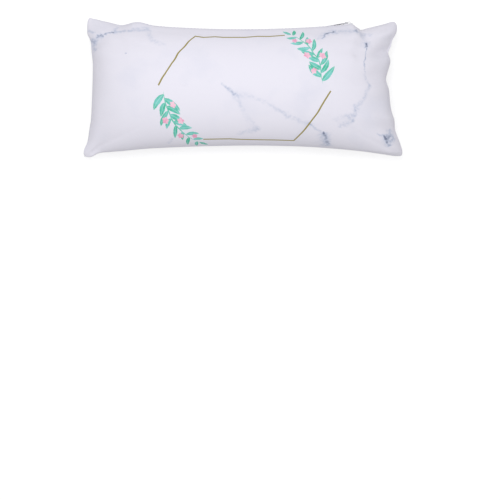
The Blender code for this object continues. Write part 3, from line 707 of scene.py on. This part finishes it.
def onto(tree, source, start, angle, length, width):
    # the place in a shape's own frame: x from 0 to 1 along it, y in its widths
    away = add(tree, "VectorMath", {0: source, 1: (*start, 0)}, operation="SUBTRACT").outputs[0]
    along = (math.cos(angle) / length, math.sin(angle) / length, 0)
    across = (-math.sin(angle) / width, math.cos(angle) / width, 0)
    return [add(tree, "VectorMath", {0: away, 1: axis}, operation="DOT_PRODUCT").outputs["Value"]
            for axis in (along, across)]


def wavered(tree, source, field, scale, reach):
    # the same place pushed about by a noise, reach in mm
    waver = add(tree, "TexNoise", {"Vector": field, "Scale": scale, "Detail": 3.0}).outputs["Color"]
    shift = add(tree, "VectorMath", {0: waver, 1: (0.5, 0.5, 0.5)}, operation="SUBTRACT").outputs[0]
    push = add(tree, "VectorMath", {0: shift, "Scale": reach}, operation="SCALE").outputs[0]
    return add(tree, "VectorMath", {0: source, 1: push}, operation="ADD").outputs[0]


def stemPoint(share):
    # a place on the sprig's bent stem and the way it heads there
    foot, bend, tip = (Vector(point) for point in artwork["stem"])
    place = foot * (1 - share) ** 2 + bend * 2 * share * (1 - share) + tip * share ** 2
    heading = (bend - foot) * (1 - share) + (tip - bend) * share
    return place, math.atan2(heading.y, heading.x)


def marbled(tree, flat):
    # each vein joins the total at once, so that few values are held at a time
    group = makeStrokeGroup()
    marble = flat
    for scale, reach in artwork["veinWavers"]:
        marble = wavered(tree, marble, flat, scale, reach)
    total = 0.0
    for x0, y0, x1, y1, width, strength in artwork["veins"]:
        angle, length = math.atan2(y1 - y0, x1 - x0), math.hypot(x1 - x0, y1 - y0)
        x, y = onto(tree, marble, (x0, y0), angle, length, width)
        stroke = add(tree, "Group", {"X": x, "Y": y, "Strength": strength}, node_tree=group).outputs[0]
        total = add(tree, "Math", {0: total, 1: stroke}, operation="ADD").outputs[0]
    grain = add(tree, "TexNoise", {"Vector": flat, "Scale": 0.35, "Detail": 3.0}).outputs["Fac"]
    broken = add(tree, "MapRange", {0: grain, 1: 0.3, 2: 0.62, 3: 0.35, 4: 1.15}).outputs[0]
    vein = add(tree, "Math", {0: total, 1: broken}, operation="MULTIPLY", use_clamp=True).outputs[0]
    cloud = add(tree, "TexNoise", {"Vector": marble, "Scale": 0.025, "Detail": 3.0}).outputs["Fac"]
    haze = add(tree, "MapRange", {0: cloud, 1: 0.52, 2: 0.78, 3: 0.0, 4: 0.35}).outputs[0]
    ground = add(tree, "Mix", {0: haze, 6: hexColor(artwork["cloth"]), 7: hexColor(artwork["haze"])},
                 data_type="RGBA").outputs[2]
    wash = add(tree, "MapRange", {0: vein, 2: 0.45}, interpolation_type="SMOOTHSTEP").outputs[0]
    washed = add(tree, "Mix", {0: wash, 6: ground, 7: hexColor(artwork["veinWash"])},
                 data_type="RGBA").outputs[2]
    core = add(tree, "MapRange", {0: vein, 1: 0.35, 2: 1.0, 4: 0.8}).outputs[0]
    return add(tree, "Mix", {0: core, 6: washed, 7: hexColor(artwork["veinCore"])},
               data_type="RGBA").outputs[2]


def withSprig(tree, color, painted, flat):
    # leaves in turn on both sides of the stem, one at its tip, and the stem itself
    foot, bend, tip = (Vector(point) for point in artwork["stem"])
    chord = tip - foot
    sag = (bend - (foot + tip) / 2).cross(chord) / chord.length / 2
    shapes = [(foot, math.atan2(chord.y, chord.x), chord.length, artwork["stemWidth"],
               -4 * sag / artwork["stemWidth"], 0.55)]
    for k in range(artwork["leaves"]):
        share = mix(*artwork["leafRun"], k / (artwork["leaves"] - 1))
        side = 1 if k % 2 else -1
        place, heading = stemPoint(share)
        lean = mix(*artwork["leafAngle"], share) + 9 * math.sin(2.3 * k)
        # no two leaves alike: sines of their count stand in for chance
        length = mix(*artwork["leafLength"], share) * (1 + 0.14 * math.sin(1.7 * k + 0.6))
        width = mix(*artwork["leafWidth"], share) * (1 + 0.12 * math.sin(2.9 * k))
        shapes.append((place, heading + side * math.radians(lean), length, width, side * 0.5,
                       0.5 + 0.45 * math.sin(3.1 * k)))
    place, heading = stemPoint(1.0)
    shapes.append((place, heading, artwork["leafLength"][1], artwork["leafWidth"][1], 0.1, 0.6))
    group = makeLeafGroup()
    masks = ribs = tones = 0.0
    for start, angle, length, width, bend, tone in shapes:
        x, y = onto(tree, painted, start, angle, length, width)
        shape = add(tree, "Group", {"X": x, "Y": y, "Bend": bend}, node_tree=group).outputs
        toned = add(tree, "Math", {0: shape["Mask"], 1: tone}, operation="MULTIPLY").outputs[0]
        tones = add(tree, "Math", {0: tones, 1: toned}, operation="MAXIMUM").outputs[0]
        masks = add(tree, "Math", {0: masks, 1: shape["Mask"]}, operation="MAXIMUM").outputs[0]
        ribs = add(tree, "Math", {0: ribs, 1: shape["Rib"]}, operation="MAXIMUM").outputs[0]
    wash = add(tree, "TexNoise", {"Vector": flat, "Scale": 0.16, "Detail": 3.0}).outputs["Fac"]
    uneven = add(tree, "MapRange", {0: wash, 1: 0.35, 2: 0.65, 3: -0.35, 4: 0.35}).outputs[0]
    tone = add(tree, "Math", {0: tones, 1: uneven}, operation="ADD", use_clamp=True).outputs[0]
    green = add(tree, "Mix", {0: tone, 6: hexColor(artwork["leafDeep"]), 7: hexColor(artwork["leafPale"])},
                data_type="RGBA").outputs[2]
    faint = add(tree, "Math", {0: ribs, 1: 0.35}, operation="MULTIPLY").outputs[0]
    green = add(tree, "Mix", {0: faint, 6: green, 7: hexColor(artwork["leafRib"])},
                data_type="RGBA").outputs[2]
    color = add(tree, "Mix", {0: masks, 6: color, 7: green}, data_type="RGBA").outputs[2]

    # blossoms of five petals beside the stem
    petals = 0.0
    for share, offset, size in artwork["blossoms"]:
        place, heading = stemPoint(share)
        spot = place + Vector((-math.sin(heading), math.cos(heading))) * offset
        x, y = onto(tree, painted, spot, heading, size, size * artwork["blossomWide"])
        around = add(tree, "Math", {0: y, 1: x}, operation="ARCTAN2").outputs[0]
        five = add(tree, "Math", {0: around, 1: 2.5}, operation="MULTIPLY").outputs[0]
        lobe = add(tree, "Math", {0: five}, operation="COSINE").outputs[0]
        lobes = add(tree, "Math", {0: lobe}, operation="ABSOLUTE").outputs[0]
        edge = add(tree, "MapRange", {0: lobes, 3: 0.55, 4: 0.82}, clamp=False).outputs[0]
        local = add(tree, "CombineXYZ", {0: x, 1: y}).outputs[0]
        radius = add(tree, "VectorMath", {0: local}, operation="LENGTH").outputs["Value"]
        inside = add(tree, "Math", {0: edge, 1: radius}, operation="SUBTRACT").outputs[0]
        blossom = add(tree, "MapRange", {0: inside, 1: 0.0, 2: 0.12}, clamp=False,
                      interpolation_type="SMOOTHSTEP").outputs[0]
        petals = add(tree, "Math", {0: petals, 1: blossom}, operation="MAXIMUM").outputs[0]
    pink = add(tree, "Mix", {0: tone, 6: hexColor(artwork["blossom"]), 7: hexColor(artwork["blossomPale"])},
               data_type="RGBA").outputs[2]
    return add(tree, "Mix", {0: petals, 6: color, 7: pink}, data_type="RGBA").outputs[2]


def withGoldLines(tree, color, flat):
    # straight bands from point to point, each a little longer than its run so that they join
    lines = 0.0
    for (x0, y0), (x1, y1) in (pair for run in artwork["goldLines"] for pair in zip(run, run[1:])):
        angle, length = math.atan2(y1 - y0, x1 - x0), math.hypot(x1 - x0, y1 - y0)
        x, y = onto(tree, flat, (x0, y0), angle, length, artwork["goldWidth"] / 2)
        away = add(tree, "Math", {0: y}, operation="ABSOLUTE").outputs[0]
        band = add(tree, "MapRange", {0: away, 1: 1.2, 2: 0.8}, clamp=False,
                   interpolation_type="SMOOTHSTEP").outputs[0]
        inRun = add(tree, "Math", {0: x, 1: 0.5, 2: 0.5 + 0.25 / length}, operation="COMPARE").outputs[0]
        line = add(tree, "Math", {0: band, 1: inRun}, operation="MULTIPLY").outputs[0]
        lines = add(tree, "Math", {0: lines, 1: line}, operation="MAXIMUM").outputs[0]
    return add(tree, "Mix", {0: lines, 6: color, 7: hexColor(artwork["gold"])}, data_type="RGBA").outputs[2]


def printedColor(tree):
    # the whole print in its order: marble, the sprig in both halves, the gold frame
    span = cover["printSpan"]
    uv = add(tree, "UVMap", uv_map="print").outputs[0]
    flat = add(tree, "VectorMath", {0: uv, 1: (span, span, 0), 2: (-span / 2, -span / 2, 0)},
               operation="MULTIPLY_ADD").outputs[0]
    centred = add(tree, "VectorMath", {0: flat, 1: (*artwork["centre"], 0)}, operation="SUBTRACT").outputs[0]
    height = add(tree, "SeparateXYZ", {0: centred}).outputs["Y"]
    upper = add(tree, "Math", {0: height, 1: 0.0}, operation="GREATER_THAN").outputs[0]
    sign = add(tree, "MapRange", {0: upper, 3: -1.0, 4: 1.0}, clamp=False).outputs[0]
    turned = add(tree, "VectorMath", {0: centred, "Scale": sign}, operation="SCALE").outputs[0]
    color = marbled(tree, flat)
    painted = wavered(tree, turned, flat, *artwork["sprigWaver"])
    color = withSprig(tree, color, painted, flat)
    return withGoldLines(tree, color, flat)


# crystal velvet printed by dye transfer: a short dense pile, matt with a soft sheen at grazing angles
sheen = {"Sheen Weight": 0.25, "Sheen Roughness": 0.4}
velvet, tree, shader = newMaterial("printedCrystalVelvet", artwork["cloth"], 0.8, **sheen)
tree.links.new(printedColor(tree), shader.inputs["Base Color"])
place = add(tree, "TexCoord").outputs["Object"]
pile = add(tree, "TexNoise",
           {"Vector": place, "Scale": 1100.0, "Detail": 3.0, "Roughness": 0.7}).outputs["Fac"]
bump = add(tree, "Bump", {"Height": pile, "Strength": 0.18, "Distance": 0.3 * mm})
tree.links.new(bump.outputs[0], shader.inputs["Normal"])
dress(velvet, frontCover)

# the same velvet left plain on the underside
plainVelvet, tree, shader = newMaterial("plainCrystalVelvet", "#E4E2EE", 0.8, **sheen)
place = add(tree, "TexCoord").outputs["Object"]
brushed = add(tree, "TexNoise", {"Vector": place, "Scale": 26.0, "Detail": 4.0}).outputs["Fac"]
color = add(tree, "Mix", {0: brushed, 6: hexColor("#DEDCEA"), 7: hexColor("#EAE8F3")}, data_type="RGBA")
tree.links.new(color.outputs[2], shader.inputs["Base Color"])
pile = add(tree, "TexNoise",
           {"Vector": place, "Scale": 1100.0, "Detail": 3.0, "Roughness": 0.7}).outputs["Fac"]
bump = add(tree, "Bump", {"Height": pile, "Strength": 0.18, "Distance": 0.3 * mm})
tree.links.new(bump.outputs[0], shader.inputs["Normal"])
dress(plainVelvet, backCover)

# spun-bonded polypropylene: matt, with the small pressed spots of its bonding
spunBonded, tree, shader = newMaterial("spunBondedPolypropylene", "#F2F2F0", 0.7)
place = add(tree, "TexCoord").outputs["Object"]
spots = add(tree, "TexVoronoi", {"Vector": place, "Scale": 600.0, "Randomness": 0.25}).outputs["Distance"]
raised = add(tree, "MapRange", {0: spots, 1: 0.1, 2: 0.35}).outputs[0]
color = add(tree, "Mix", {0: raised, 6: hexColor("#E2E2E0"), 7: hexColor("#F4F4F2")}, data_type="RGBA")
tree.links.new(color.outputs[2], shader.inputs["Base Color"])
bump = add(tree, "Bump", {"Height": raised, "Strength": 0.5, "Distance": 0.2 * mm})
tree.links.new(bump.outputs[0], shader.inputs["Normal"])
dress(spunBonded, insert)

# woven polyester tape: slanting ribs 0.8 mm apart
wovenTape, tree, shader = newMaterial("wovenPolyesterTape", "#DAD8E6", 0.75, **{"Sheen Weight": 0.15})
place = add(tree, "TexCoord").outputs["Object"]
ribs = add(tree, "TexWave", {"Vector": place, "Scale": 400.0, "Distortion": 0.4},
           bands_direction="DIAGONAL").outputs["Fac"]
color = add(tree, "Mix", {0: ribs, 6: hexColor("#CBC9DA"), 7: hexColor("#E2E0EC")}, data_type="RGBA")
tree.links.new(color.outputs[2], shader.inputs["Base Color"])
bump = add(tree, "Bump", {"Height": ribs, "Strength": 0.5, "Distance": 0.2 * mm})
tree.links.new(bump.outputs[0], shader.inputs["Normal"])
dress(wovenTape, frame["nodes"]["zip_tape_upper"], frame["nodes"]["zip_tape_lower"])

# nylon wire heat-set into turns: smooth and slightly milky
nylon, tree, shader = newMaterial("heatSetNylonWire", "#DEDCE8", 0.35, **{"Subsurface Weight": 0.1})
place = add(tree, "TexCoord").outputs["Object"]
worn = add(tree, "TexNoise", {"Vector": place, "Scale": 900.0}).outputs["Fac"]
rough = add(tree, "MapRange", {0: worn, 3: 0.28, 4: 0.45}).outputs[0]
tree.links.new(rough, shader.inputs["Roughness"])
dress(nylon, coilUpper, coilLower)

# spun polyester thread: two plies twisted, matt
thread, tree, shader = newMaterial("spunPolyesterThread", "#E9E7F1", 0.8, **{"Sheen Weight": 0.2})
place = add(tree, "TexCoord").outputs["Object"]
twist = add(tree, "TexWave", {"Vector": place, "Scale": 900.0}, bands_direction="DIAGONAL").outputs["Fac"]
bump = add(tree, "Bump", {"Height": twist, "Strength": 0.4, "Distance": 0.1 * mm})
tree.links.new(bump.outputs[0], shader.inputs["Normal"])
dress(thread, coilStitchesUpper, coilStitchesLower, topstitchUpper, topstitchLower)

# nickel-plated zinc casting: bright grey, finely scuffed by handling
nickel, tree, shader = newMaterial("nickelPlatedZincCasting", "#B9B9BE", 0.55, Metallic=1.0)
place = add(tree, "TexCoord").outputs["Object"]
scuffs = add(tree, "TexNoise", {"Vector": place, "Scale": 1500.0, "Detail": 4.0}).outputs["Fac"]
rough = add(tree, "MapRange", {0: scuffs, 1: 0.3, 2: 0.7, 3: 0.5, 4: 0.62}).outputs[0]
tree.links.new(rough, shader.inputs["Roughness"])
color = add(tree, "Mix", {0: scuffs, 6: hexColor("#ADADB2"), 7: hexColor("#C4C4C9")}, data_type="RGBA")
tree.links.new(color.outputs[2], shader.inputs["Base Color"])
dress(nickel, slider, pull)

print("materials made")

# floor, background and light; floor and background look brighter than the light that they give
studio = {"floorHalf": 1.5, "floorGlow": 0.62, "skyGiven": 0.6, "skySeen": 1.0}
softBox = {"place": (-0.03, 0.078, 0.58), "size": 0.3, "power": 1.34}
bm = bmesh.new()
bmesh.ops.create_grid(bm, x_segments=1, y_segments=1, size=studio["floorHalf"])
floorMesh = bpy.data.meshes.new("floor")
bm.to_mesh(floorMesh)
bm.free()
floor = bpy.data.objects.new("floor", floorMesh)
scene.collection.objects.link(floor)


def whereSeen(tree):
    # 1 for what is looked at straight, in a gloss or through something, 0 for the light that it gives
    rays = add(tree, "LightPath").outputs
    seen = add(tree, "Math", {0: rays["Is Camera Ray"], 1: rays["Is Glossy Ray"]},
               operation="MAXIMUM").outputs[0]
    return add(tree, "Math", {0: seen, 1: rays["Is Transmission Ray"]}, operation="MAXIMUM").outputs[0]


# seamless studio paper
paper, tree, shader = newMaterial("studioPaper", "#C8C8C8", 0.9)
glow = add(tree, "MapRange", {0: whereSeen(tree), 4: studio["floorGlow"]}).outputs[0]
shader.inputs["Emission Color"].default_value = (1, 1, 1, 1)
tree.links.new(glow, shader.inputs["Emission Strength"])
floor.data.materials.append(paper)

scene.view_settings.view_transform = "Standard"
world = bpy.data.worlds.new("studio")
scene.world = world
world.use_nodes = True
tree = world.node_tree
sky = tree.nodes["Background"]
sky.inputs["Color"].default_value = (1, 1, 1, 1)
level = add(tree, "MapRange", {0: whereSeen(tree), 3: studio["skyGiven"], 4: studio["skySeen"]}).outputs[0]
tree.links.new(level, sky.inputs["Strength"])
boxData = bpy.data.lights.new("softBox", "AREA")
boxData.energy = softBox["power"]
boxData.size = softBox["size"]
box = bpy.data.objects.new("softBox", boxData)
box.location = softBox["place"]
box.rotation_euler = (-Vector(softBox["place"])).to_track_quat("-Z", "Y").to_euler()
scene.collection.objects.link(box)
